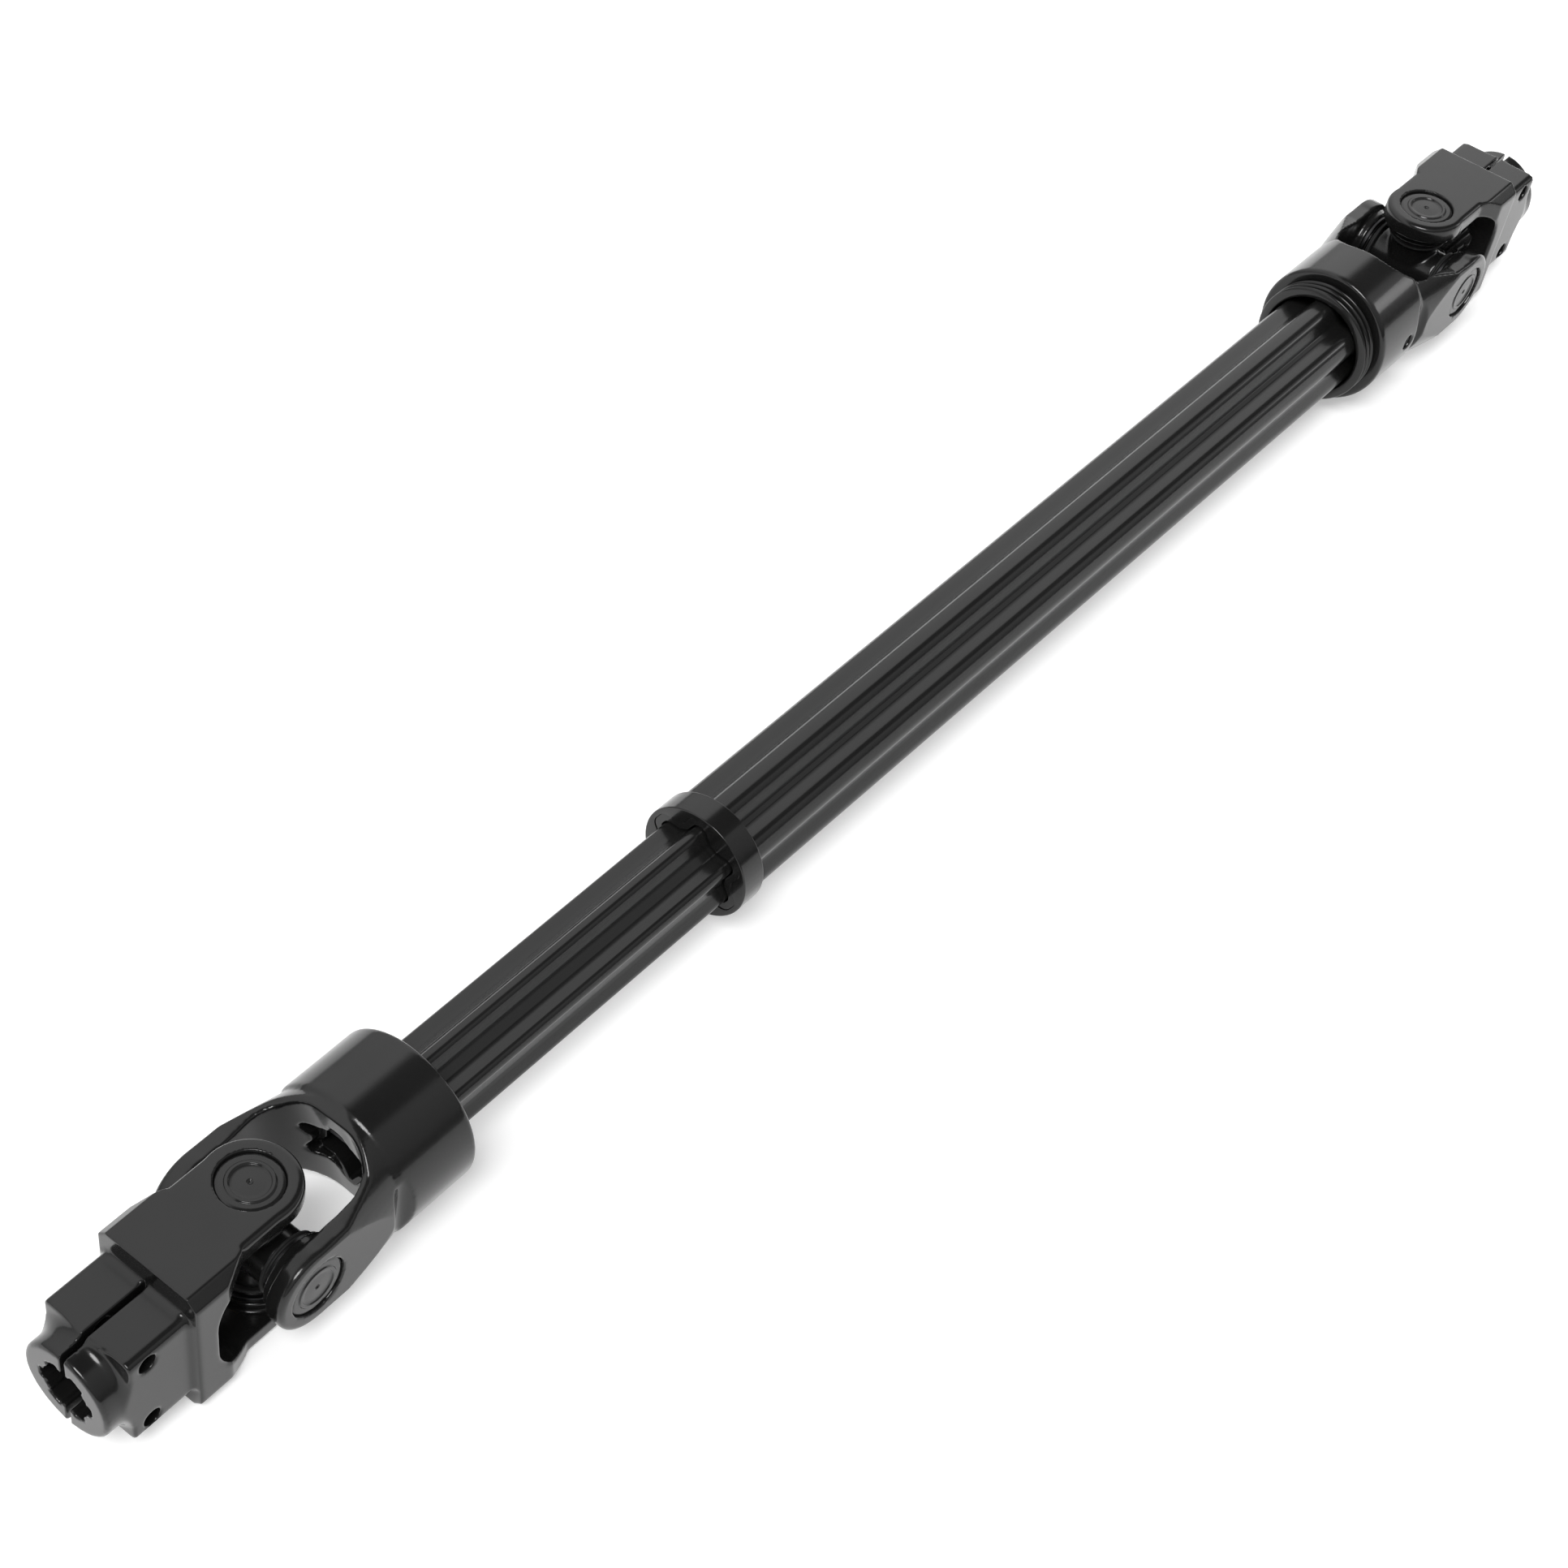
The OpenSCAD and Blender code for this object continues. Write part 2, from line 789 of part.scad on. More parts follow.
module rear_snap_right() {
    color([0.16, 0.16, 0.17]) at_rear() right() snap_ring();
}

// ---- Assembly ----

outer_tube();
inner_tube();
tube_collar();
lock_ring();
front_clamp_yoke();
front_shaft_yoke();
front_cross();
front_tube_pin();
front_grease_nipple();
front_cup_top();
front_cup_bottom();
front_cup_left();
front_cup_right();
front_needles_top();
front_needles_bottom();
front_needles_left();
front_needles_right();
front_seal_top();
front_seal_bottom();
front_seal_left();
front_seal_right();
front_snap_top();
front_snap_bottom();
front_snap_left();
front_snap_right();
rear_clamp_yoke();
rear_shaft_yoke();
rear_cross();
rear_tube_pin();
rear_grease_nipple();
rear_cup_top();
rear_cup_bottom();
rear_cup_left();
rear_cup_right();
rear_needles_top();
rear_needles_bottom();
rear_needles_left();
rear_needles_right();
rear_seal_top();
rear_seal_bottom();
rear_seal_left();
rear_seal_right();
rear_snap_top();
rear_snap_bottom();
rear_snap_left();
rear_snap_right();
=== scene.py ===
import json
import math

import bmesh
import bpy
import numpy as np
from bpy.props import FloatProperty, FloatVectorProperty, IntProperty, PointerProperty
from mathutils import Matrix, Vector


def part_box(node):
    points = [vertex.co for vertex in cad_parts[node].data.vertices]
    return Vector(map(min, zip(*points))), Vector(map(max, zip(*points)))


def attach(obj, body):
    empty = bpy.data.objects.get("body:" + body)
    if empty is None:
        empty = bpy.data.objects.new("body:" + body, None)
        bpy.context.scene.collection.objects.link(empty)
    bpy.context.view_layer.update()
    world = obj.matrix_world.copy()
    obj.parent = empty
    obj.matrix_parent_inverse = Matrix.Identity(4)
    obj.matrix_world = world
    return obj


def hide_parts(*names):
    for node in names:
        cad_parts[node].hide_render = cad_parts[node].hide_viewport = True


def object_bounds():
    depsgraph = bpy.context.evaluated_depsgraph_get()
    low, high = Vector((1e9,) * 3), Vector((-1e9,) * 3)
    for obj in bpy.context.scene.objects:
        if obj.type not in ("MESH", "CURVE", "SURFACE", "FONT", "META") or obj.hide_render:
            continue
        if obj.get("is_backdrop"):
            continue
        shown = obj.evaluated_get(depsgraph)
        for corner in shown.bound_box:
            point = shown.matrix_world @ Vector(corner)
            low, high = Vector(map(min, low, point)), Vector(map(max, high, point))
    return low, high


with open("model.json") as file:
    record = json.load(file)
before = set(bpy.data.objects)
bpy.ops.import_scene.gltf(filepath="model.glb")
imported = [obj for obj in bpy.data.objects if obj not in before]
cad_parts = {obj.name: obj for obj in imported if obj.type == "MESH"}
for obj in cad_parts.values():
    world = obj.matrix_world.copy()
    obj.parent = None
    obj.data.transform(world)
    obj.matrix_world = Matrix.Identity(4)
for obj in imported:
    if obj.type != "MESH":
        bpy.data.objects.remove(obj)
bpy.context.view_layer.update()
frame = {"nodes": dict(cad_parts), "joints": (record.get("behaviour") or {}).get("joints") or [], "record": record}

bl_info = {
    "name": "Universal joint shaft",
    "version": (1, 0, 0),
    "blender": (4, 5, 0),
    "location": "View3D > Sidebar > Joint shaft",
    "description": "Finishes the pieces of a telescopic universal joint shaft",
    "category": "Mesh",
}

MM = 0.001
ENDS = ("front", "rear")
SIDES = ("top", "bottom", "left", "right")
JOINTS = {joint["name"]: joint for joint in frame["joints"]}
BODY_OF = {node: body for body, nodes in frame["record"]["behaviour"]["bodies"].items() for node in nodes}
SLOT_OF = {part["node"]: part["material_slot"] for part in frame["record"]["subparts"]}
# How far the crisp, machined part of a casting reaches round a bearing bore, and where hubs and blocks begin
BEARING_ZONE = 18.2 * MM
BLOCK_FROM = 66 * MM


# ---- Sizes and colours that a user may change ----


class ShaftShape(bpy.types.PropertyGroup):
    """Sizes of the softened edges and of the turned detail"""

    cell: FloatProperty(
        name="Casting grain", description="Size of the faces that a casting is rounded with",
        default=0.9 * MM, min=0.2 * MM, unit="LENGTH"
    )
    casting_passes: IntProperty(
        name="Casting rounding", description="Smoothing passes on a casting's outer edges",
        default=4, min=0, max=60
    )
    bore_passes: IntProperty(
        name="Bore rounding", description="Smoothing passes on a casting's machined edges",
        default=1, min=0, max=20
    )
    turned_edge: FloatProperty(
        name="Turned edge", description="Rounding of small parts' edges",
        default=0.4 * MM, min=0, unit="LENGTH"
    )
    lobe_round: FloatProperty(
        name="Inner lobe corner", description="Corner radius of the inner tube's lobes", default=3.7 * MM,
        min=1 * MM, unit="LENGTH"
    )
    sleeve_round: FloatProperty(
        name="Outer lobe corner", description="Corner radius of the outer tube's lobes", default=6.6 * MM,
        min=1 * MM, unit="LENGTH"
    )
    lobe_side: FloatProperty(
        name="Lobe side", description="From the tube's axis square to a sloping lobe side", default=15.7 * MM,
        min=1 * MM, unit="LENGTH"
    )
    lobe_floor: FloatProperty(
        name="Valley floor", description="From the tube's axis to a valley floor", default=19.9 * MM,
        min=1 * MM, unit="LENGTH"
    )
    inner_wall: FloatProperty(
        name="Inner wall", description="Wall of the inner tube", default=3 * MM, min=1 * MM, unit="LENGTH"
    )
    slide_gap: FloatProperty(
        name="Sliding gap", description="Gap seen between the two tubes",
        default=0.8 * MM, min=0.1 * MM, unit="LENGTH"
    )
    turns: IntProperty(name="Turns", description="Faces round a turned part", default=120, min=24, max=256)


class ShaftFinish(bpy.types.PropertyGroup):
    """Colours and gloss of the finishes"""

    coat: FloatVectorProperty(
        name="Coating", description="Colour of the black coating", subtype="COLOR", size=3, min=0, max=1,
        default=(0.008, 0.008, 0.0079)
    )
    coat_gloss: FloatProperty(
        name="Coating roughness", description="Roughness of the black coating", default=0.19, min=0, max=1,
        subtype="FACTOR"
    )
    steel: FloatVectorProperty(
        name="Steel", description="Colour of ground steel", subtype="COLOR", size=3, min=0, max=1,
        default=(0.45, 0.45, 0.46)
    )
    brass: FloatVectorProperty(
        name="Brass", description="Colour of the grease nipples", subtype="COLOR", size=3, min=0, max=1,
        default=(0.5, 0.36, 0.14)
    )


class StageLook(bpy.types.PropertyGroup):
    """Camera, lights and floor"""

    lens: FloatProperty(name="Lens", description="Camera lens length in millimetres", default=65.21, min=10)
    camera_at: FloatVectorProperty(
        name="Camera place", description="Where the camera stands", subtype="TRANSLATION", size=3,
        default=(-0.41556, -0.56872, 1.14022)
    )
    camera_turn: FloatVectorProperty(
        name="Camera turn", description="How the camera is turned", subtype="EULER", size=3,
        default=(math.radians(38.43), math.radians(-3.666), math.radians(-48.83))
    )
    camera_shift: FloatVectorProperty(
        name="Camera shift", description="Shift of the picture across and up", size=2,
        default=(0.1447, 0.1627)
    )
    floor_tone: FloatVectorProperty(
        name="Floor", description="Colour of the floor", subtype="COLOR", size=3, min=0, max=1,
        default=(0.92, 0.92, 0.92)
    )
    floor_glow: FloatProperty(
        name="Floor glow", description="Light from the floor itself", default=0.34, min=0
    )
    glint: FloatProperty(
        name="Glint", description="Power of the small light past the rear end", default=0.5, min=0
    )
    room: FloatProperty(name="Room", description="Brightness of the two long soft boxes", default=1.5, min=0)
    key: FloatProperty(name="Key", description="Brightness of the soft key light", default=2.0, min=0)


# ---- Meshes ----


def new_piece(name, points, faces):
    """Makes a mesh object from arrays of points and faces, with doubles joined and normals pointing out."""
    mesh = bpy.data.meshes.new(name)
    mesh.from_pydata(points.tolist(), [], faces.tolist())
    bm = bmesh.new()
    bm.from_mesh(mesh)
    bmesh.ops.remove_doubles(bm, verts=bm.verts, dist=1e-7)
    bmesh.ops.recalc_face_normals(bm, faces=bm.faces)
    bm.to_mesh(mesh)
    bm.free()
    piece = bpy.data.objects.new(name, mesh)
    bpy.context.scene.collection.objects.link(piece)
    return piece


def grid_faces(rows, columns, closed_rows):
    """Four-sided faces of a grid of rows by columns. The columns close on themselves and the rows may."""
    r = np.arange(rows if closed_rows else rows - 1)[:, None]
    c = np.arange(columns)[None, :]
    after_r, after_c = (r + 1) % rows, (c + 1) % columns
    corners = (r * columns + c, r * columns + after_c, after_r * columns + after_c, after_r * columns + c)
    return np.stack([np.broadcast_to(k, (r.size, columns)) for k in corners], axis=-1).reshape(-1, 4)


def softened(points, cuts, steps=7):
    """Closed outline whose corner P becomes the curve (1-t)^2 A + 2t(1-t) P + t^2 B.

    A and B lie on the two sides of P, one cut length away from it or 0.48 of the side if that is less.
    """
    p = np.asarray(points, float)
    to_last, to_next = np.roll(p, 1, 0) - p, np.roll(p, -1, 0) - p
    size_last = np.linalg.norm(to_last, axis=1, keepdims=True)
    size_next = np.linalg.norm(to_next, axis=1, keepdims=True)
    cut = np.broadcast_to(np.asarray(cuts, float).reshape(-1, 1), (len(p), 1))
    a = p + to_last / size_last * np.minimum(cut, 0.48 * size_last)
    b = p + to_next / size_next * np.minimum(cut, 0.48 * size_next)
    t = np.linspace(0, 1, steps)[None, :, None]
    curve = (1 - t) ** 2 * a[:, None] + 2 * t * (1 - t) * p[:, None] + t**2 * b[:, None]
    return curve.reshape(-1, 2)


def turned(name, outline, turns, place=None):
    """Outline of (radius, height) carried round Z: x = r cos a, y = r sin a, z = height, for a full turn of a.

    An outline that starts and ends on the axis closes in two poles; any other closes on itself.
    """
    a = np.linspace(0, 2 * np.pi, turns, endpoint=False)[None, :]
    r, h = outline[:, :1], outline[:, 1:]
    points = np.stack([r * np.cos(a), r * np.sin(a), h + 0 * a], axis=-1).reshape(-1, 3)
    ring = outline[0, 0] > 0
    piece = new_piece(name, points, grid_faces(len(outline), turns, ring))
    if place is not None:
        piece.data.transform(place)
    return piece


def lobe_outline(tip, side, floor, corner, steps=9):
    """Six-lobed outline, 60 degrees to a lobe, first lobe at 30 degrees.

    A lobe has two corner arcs of radius c about (tip - c, -w) and (tip - c, w), where w puts its sloping
    sides, whose normals stand 60 degrees off its middle, at the distance side from the axis. It ends where
    those sides meet the valley floors, at (3^0.5 floor - side, -+(3^0.5 side - floor)). The six copies are
    turned about the axis.
    """
    out = tip - corner
    w = (side - corner - out * 0.5) / math.sin(math.pi / 3)
    a = np.linspace(-math.pi / 3, 0, steps)
    low = np.column_stack([out + corner * np.cos(a), -w + corner * np.sin(a)])
    foot = np.array([[math.sqrt(3) * floor - side, floor - math.sqrt(3) * side]])
    half = np.concatenate([foot, low])
    lobe = np.concatenate([half, half[::-1] * (1, -1)])
    turn = math.pi / 6 + np.arange(6)[:, None] * math.pi / 3
    y = lobe[:, 0] * np.cos(turn) - lobe[:, 1] * np.sin(turn)
    z = lobe[:, 0] * np.sin(turn) + lobe[:, 1] * np.cos(turn)
    arc = [1] * (steps - 1)
    return parted(np.column_stack([y.ravel(), z.ravel()]), ([3] + arc + [2] + arc + [3, 6]) * 6)


def parted(outline, parts):
    """Closed outline with each side cut into its own number of equal parts."""
    parts = np.asarray(parts)
    side = np.repeat(np.arange(len(outline)), parts)
    share = (np.arange(parts.sum()) - (np.cumsum(parts) - parts)[side]) / parts[side]
    return outline[side] + (np.roll(outline, -1, 0)[side] - outline[side]) * share[:, None]


def round_outline(like, radius):
    """Circle with one point in the same direction as each point of another outline."""
    return like / np.linalg.norm(like, axis=1, keepdims=True) * radius


def sleeve(name, rows):
    """Closed wall carried along X: each row is a station and its outline of (y, z). The last joins the first."""
    points = np.concatenate([np.column_stack([np.full(len(line), x), line]) for x, line in rows])
    return new_piece(name, points, grid_faces(len(rows), len(rows[0][1]), True))


def lobed_tube(name, box, outer, inner, edge):
    """Tube between two lobed outlines, with its end edges rounded off by stepping both outlines inward."""
    x0, x1 = box[0][0], box[1][0]
    a = np.linspace(0, math.pi / 2, 4)
    front = [(x0 + edge * (1 - math.cos(k)), outer(-edge * (1 - math.sin(k)))) for k in a]
    back = [(x1 - edge * (1 - math.cos(k)), outer(-edge * (1 - math.sin(k)))) for k in a[::-1]]
    bore_back = [(x1 - edge * (1 - math.cos(k)), inner(edge * (1 - math.sin(k)))) for k in a]
    bore_front = [(x0 + edge * (1 - math.cos(k)), inner(edge * (1 - math.sin(k)))) for k in a[::-1]]
    return sleeve(name, front + back + bore_back + bore_front)


def joined_copy(node, name):
    """Copy of a CAD node's mesh with its loose triangles joined and its flat areas made whole."""
    mesh = frame["nodes"][node].data.copy()
    mesh.name = name
    bm = bmesh.new()
    bm.from_mesh(mesh)
    bmesh.ops.remove_doubles(bm, verts=bm.verts, dist=2e-6)
    bmesh.ops.dissolve_degenerate(bm, edges=bm.edges, dist=5e-6)
    bmesh.ops.dissolve_limit(bm, angle_limit=math.radians(0.6), verts=bm.verts, edges=bm.edges)
    bm.to_mesh(mesh)
    bm.free()
    mesh.materials.clear()
    piece = bpy.data.objects.new(name, mesh)
    bpy.context.scene.collection.objects.link(piece)
    return piece


def frozen(piece):
    """Puts the shape that the piece's modifiers give into its mesh and takes the modifiers off."""
    shaped = piece.evaluated_get(bpy.context.evaluated_depsgraph_get())
    old, piece.data = piece.data, bpy.data.meshes.new_from_object(shaped)
    piece.modifiers.clear()
    piece.data.name = old.name
    bpy.data.meshes.remove(old)


def points_of(mesh):
    """A mesh's points as an array of rows."""
    co = np.empty(len(mesh.vertices) * 3)
    mesh.vertices.foreach_get("co", co)
    return co.reshape(-1, 3)


def cast_copy(node, name, cell, passes):
    """Copy of a CAD node as it leaves the mould, with its edges rounded all over.

    The copy is cut into even cells. Each pass moves every point halfway to the mean of its neighbours, as
    often as passes(points) says for that point. How far a point has moved against its normal is kept as the
    attribute "worn", 0 on flats to 1 on the sharpest outer edges, and along its normal as "hollow".
    """
    piece = joined_copy(node, name)
    remesh = piece.modifiers.new("Cells", "REMESH")
    remesh.mode = "VOXEL"
    remesh.voxel_size = cell
    remesh.adaptivity = 0
    frozen(piece)
    mesh = piece.data
    points = points_of(mesh)
    start = points.copy()
    normals = np.empty(len(points) * 3)
    mesh.vertices.foreach_get("normal", normals)
    ends = np.empty(len(mesh.edges) * 2, np.int64)
    mesh.edges.foreach_get("vertices", ends)
    one, other = ends.reshape(-1, 2).T
    count = np.bincount(ends, minlength=len(points))[:, None]
    turns = passes(start)
    for k in range(int(turns.max())):
        total = np.stack([
            np.bincount(one, points[other, i], len(points)) + np.bincount(other, points[one, i], len(points))
            for i in range(3)
        ], axis=-1)
        share = np.clip(turns - k, 0, 1)[:, None] * 0.5
        points += (total / count - points) * share
    mesh.vertices.foreach_set("co", points.ravel())
    moved = ((start - points) * normals.reshape(-1, 3)).sum(axis=1) / cell
    for key, value in (("worn", moved), ("hollow", -moved)):
        store = mesh.attributes.new(key, "FLOAT", "POINT")
        store.data.foreach_set("value", np.clip(value, 0, 1).astype(np.float32))
    mesh.polygons.foreach_set("use_smooth", np.ones(len(mesh.polygons), bool))
    mesh.update()
    return piece


def round_edges(piece, width, least=28, steps=3):
    """Rounds the edges with a live Bevel."""
    bevel = piece.modifiers.new("Rounded edges", "BEVEL")
    bevel.width = width
    bevel.segments = steps
    bevel.limit_method = "ANGLE"
    bevel.angle_limit = math.radians(least)
    bevel.miter_outer = "MITER_ARC"
    bevel.use_clamp_overlap = True


def smooth(piece):
    """Shades smooth with normals weighed by face area, so flat faces stay flat up to rounded edges."""
    piece.data.polygons.foreach_set("use_smooth", np.ones(len(piece.data.polygons), bool))
    weigh = piece.modifiers.new("Weighted normals", "WEIGHTED_NORMAL")
    weigh.mode = "FACE_AREA"
    weigh.weight = 60
    weigh.keep_sharp = False


def stand_for(piece, node, *materials):
    """Puts a new piece in a CAD node's place: its body and its materials."""
    if len(piece.data.materials) == 0:
        for material in materials:
            piece.data.materials.append(material)
    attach(piece, BODY_OF[node])
    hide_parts(node)


def joint_x(end):
    """Station of one of the two joint centres along the shaft."""
    return JOINTS[end + "_fork_swing"]["pos_m"][0]


def bearing_place(end, side):
    """Carries a part drawn along +Z from the joint centre out to one side of one joint."""
    turn = {"top": 0, "bottom": 180, "left": 90, "right": -90}[side]
    place = Matrix.Translation((joint_x(end), 0, 0))
    if end == "rear":
        place = place @ Matrix.Rotation(math.pi, 4, "Y")
    return place @ Matrix.Rotation(math.radians(turn), 4, "X")


# ---- Materials ----


class Wire:
    """A shader socket that Python sums work on. Each sum adds the Math node that it needs."""

    def __init__(self, paint, socket):
        self.paint, self.socket = paint, socket

    def _sum(self, operation, first, second):
        return self.paint.node("Math", {"operation": operation}, {0: first, 1: second})

    def __add__(self, other):
        return self._sum("ADD", self, other)

    def __radd__(self, other):
        return self._sum("ADD", other, self)

    def __sub__(self, other):
        return self._sum("SUBTRACT", self, other)

    def __rsub__(self, other):
        return self._sum("SUBTRACT", other, self)

    def __mul__(self, other):
        return self._sum("MULTIPLY", self, other)

    def __rmul__(self, other):
        return self._sum("MULTIPLY", other, self)

    def __truediv__(self, other):
        return self._sum("DIVIDE", self, other)

    def __pow__(self, other):
        return self._sum("POWER", self, other)


class Paint:
    """One material and the nodes that it is made of."""

    def __init__(self, name, metallic=0.0, coat=0.0, coat_roughness=0.1, specular=0.5):
        self.material = bpy.data.materials.new(name)
        self.material.use_nodes = True
        self.tree = self.material.node_tree
        self.shader = next(n for n in self.tree.nodes if n.type == "BSDF_PRINCIPLED")
        constants = {
            "Metallic": metallic,
            "Coat Weight": coat,
            "Coat Roughness": coat_roughness,
            "Specular IOR Level": specular,
        }
        for socket, value in constants.items():
            self.shader.inputs[socket].default_value = value

    def node(self, kind, settings=None, values=None, out=0):
        """Adds a node of a kind, sets it, fills or links its sockets and returns one output as a Wire."""
        made = self.tree.nodes.new("ShaderNode" + kind)
        for key, value in (settings or {}).items():
            if key == "stops":
                self._stops(made.color_ramp, value)
            else:
                setattr(made, key, value)
        for key, value in (values or {}).items():
            if isinstance(value, Wire):
                self.tree.links.new(value.socket, made.inputs[key])
            else:
                made.inputs[key].default_value = value
        return Wire(self, made.outputs[out])

    @staticmethod
    def _stops(ramp, stops):
        """Places a ramp's stops, each a position and a grey level."""
        while len(ramp.elements) < len(stops):
            ramp.elements.new(1.0)
        for element, (place, level) in zip(ramp.elements, stops):
            element.position = place
            element.color = (level, level, level, 1)

    def coords(self, scale=(1, 1, 1), turn=(0, 0, 0)):
        """Object coordinates, stretched and turned."""
        base = self.node("TexCoord", out="Object")
        return self.node("Mapping", {}, {"Vector": base, "Scale": scale, "Rotation": turn})

    def noise(self, size, detail=3.0, where=None):
        """Noise whose grains are about size metres across."""
        where = where or self.coords()
        sockets = {"Vector": where, "Scale": 1 / size, "Detail": detail, "Roughness": 0.55}
        return self.node("TexNoise", {}, sockets)

    def ramp(self, wire, *stops):
        """Grey ramp through (position, level) stops."""
        return self.node("ValToRGB", {"stops": stops}, {"Fac": wire})

    def blend(self, factor, dark, light):
        """Colour mixed from dark to light by a factor."""
        return self.node("Mix", {"data_type": "RGBA"}, {"Factor": factor, 6: dark, 7: light}, out=2)

    def relief(self, height, strength, distance, under=None):
        """Bump from a height; under is a Bump below it."""
        values = {"Height": height, "Strength": strength, "Distance": distance}
        if under is not None:
            values["Normal"] = under
        return self.node("Bump", {}, values)

    def drive(self, socket, wire):
        """Links a wire to one of the shader's sockets."""
        self.tree.links.new(wire.socket, self.shader.inputs[socket])


def shade(colour, factor):
    """A colour made lighter or darker, with its alpha."""
    return tuple(min(1.0, c * factor) for c in colour) + (1.0,)


def coating(name, colour, gloss, peel, grain, worn=0.0):
    """Gloss black coating: slow drifts of tone and gloss, fine orange peel, and pits of the casting below.

    Where the piece keeps how rounded its edges are, the coating there is thinner, paler and rubbed.
    """
    paint = Paint(name, coat=0.22, coat_roughness=0.05, specular=0.3)
    drift = paint.noise(0.07, 2)
    speck = paint.noise(0.0035, 4)
    tone = paint.ramp(drift * 0.75 + speck * 0.25, (0.3, 0.0), (0.7, 1.0))
    colour_wire = paint.blend(tone, shade(colour, 0.8), shade(colour, 1.25))
    smudge = paint.noise(0.03, 4)
    rough = gloss - 0.05 + 0.09 * smudge + 0.04 * speck
    if worn:
        worn_by = paint.node("Attribute", {"attribute_name": "worn"}, out="Fac")
        edge = paint.ramp(worn_by, (0.25, 0.0), (0.9, 1.0))
        rub = paint.ramp(paint.noise(0.005, 5), (0.42, 0.1), (0.66, 1.0))
        colour_wire = paint.blend(edge * rub * worn, colour_wire, shade(colour, 6.0))
        rough = rough + 0.08 * edge * rub
        hollow_by = paint.node("Attribute", {"attribute_name": "hollow"}, out="Fac")
        dust = paint.ramp(hollow_by, (0.2, 0.0), (0.9, 1.0))
        rough = rough + 0.12 * dust
    paint.drive("Base Color", colour_wire)
    paint.drive("Roughness", rough)
    skin = paint.relief(paint.noise(0.0024, 2), peel, 0.0002)
    pits = paint.ramp(paint.noise(0.0011, 2), (0.28, 0.0), (0.4, 1.0))
    paint.drive("Normal", paint.relief(pits, grain, 0.0001, skin))
    return paint.material


def drawn_coating(name, colour, gloss):
    """Black coating over drawn tube: faint streaks along the tube and a soft orange peel."""
    paint = Paint(name, coat=0.15, coat_roughness=0.1, specular=0.32)
    streak = paint.noise(0.002, 3, paint.coords(scale=(0.02, 1, 1)))
    drift = paint.noise(0.09, 2)
    tone = paint.ramp(drift * 0.6 + streak * 0.4, (0.3, 0.0), (0.7, 1.0))
    paint.drive("Base Color", paint.blend(tone, shade(colour, 0.85), shade(colour, 1.3)))
    paint.drive("Roughness", gloss - 0.04 + 0.09 * streak + 0.04 * paint.noise(0.02, 3))
    lines = paint.relief(streak, 0.12, 0.0001)
    paint.drive("Normal", paint.relief(paint.noise(0.003, 2), 0.08, 0.0002, lines))
    return paint.material


def ground_steel(name, colour, roughness, line):
    """Turned or ground steel: fine lines round the part, small stains and a little roughness drift."""
    paint = Paint(name, metallic=1.0)
    lines = paint.noise(0.0006, 2, paint.coords(scale=(line, 1, 1)))
    stain = paint.noise(0.008, 4)
    paint.drive("Base Color", paint.blend(stain, shade(colour, 0.7), shade(colour, 1.15)))
    paint.drive("Roughness", roughness - 0.08 + 0.12 * lines + 0.1 * stain)
    paint.drive("Normal", paint.relief(lines, 0.15, 0.00005))
    return paint.material


def moulded_rubber(name, colour):
    """Matt seal rubber with a fine grain, patches of dust and a slight sheen."""
    paint = Paint(name, specular=0.35)
    grain = paint.noise(0.0005, 3)
    dust = paint.ramp(paint.noise(0.006, 4), (0.45, 0.0), (0.8, 0.6))
    paint.drive("Base Color", paint.blend(dust, shade(colour, 1.0), shade(colour, 2.2)))
    paint.drive("Roughness", 0.55 + 0.2 * grain)
    paint.drive("Normal", paint.relief(grain, 0.2, 0.0001))
    return paint.material


def floor_paint(name, colour, glow):
    """Pale matt floor with a barely seen drift of tone, lit a little from below as a light table is."""
    paint = Paint(name, specular=0.2)
    paint.shader.inputs["Emission Color"].default_value = (1, 1, 1, 1)
    paint.shader.inputs["Emission Strength"].default_value = glow
    drift = paint.noise(0.5, 2)
    paint.drive("Base Color", paint.blend(drift, shade(colour, 0.985), shade(colour, 1.0)))
    paint.drive("Roughness", 0.7 + 0.1 * drift)
    return paint.material


class Studio(Paint):
    """The room: dark, with two soft boxes as long as the shaft, one high on each side of it."""

    def __init__(self, strength):
        self.world = bpy.data.worlds.new("studio")
        self.world.use_nodes = True
        self.tree = self.world.node_tree
        self.shader = self.tree.nodes["Background"]
        way = self.node("TexCoord", out="Generated")
        parts = self.tree.nodes.new("ShaderNodeSeparateXYZ")
        self.tree.links.new(way.socket, parts.inputs[0])
        across, up = Wire(self, parts.outputs[1]), Wire(self, parts.outputs[2])
        height = self._half_turn(across, up)
        glow = self.ramp(
            height, (0.0, 0.08), (0.04, 0.4), (0.14, 0.65), (0.365, 1.0), (0.42, 0.08),
            (0.625, 0.08), (0.665, 0.46), (0.9, 0.26), (0.955, 0.06)
        )
        # The camera sees a plain white backdrop, and the soft boxes only light the shaft
        seen = self.node("LightPath", out="Is Camera Ray")
        self.drive("Color", self.blend(seen, glow, (1, 1, 1, 1)))
        self.shader.inputs["Strength"].default_value = strength

    def _half_turn(self, across, up):
        """Angle from +Y over the top to -Y as a share of half a turn."""
        return self.node("Math", {"operation": "ARCTAN2"}, {0: up, 1: across}) / math.pi


def studio(strength):
    """Makes the room's light."""
    return Studio(strength).world


MATERIALS = {}


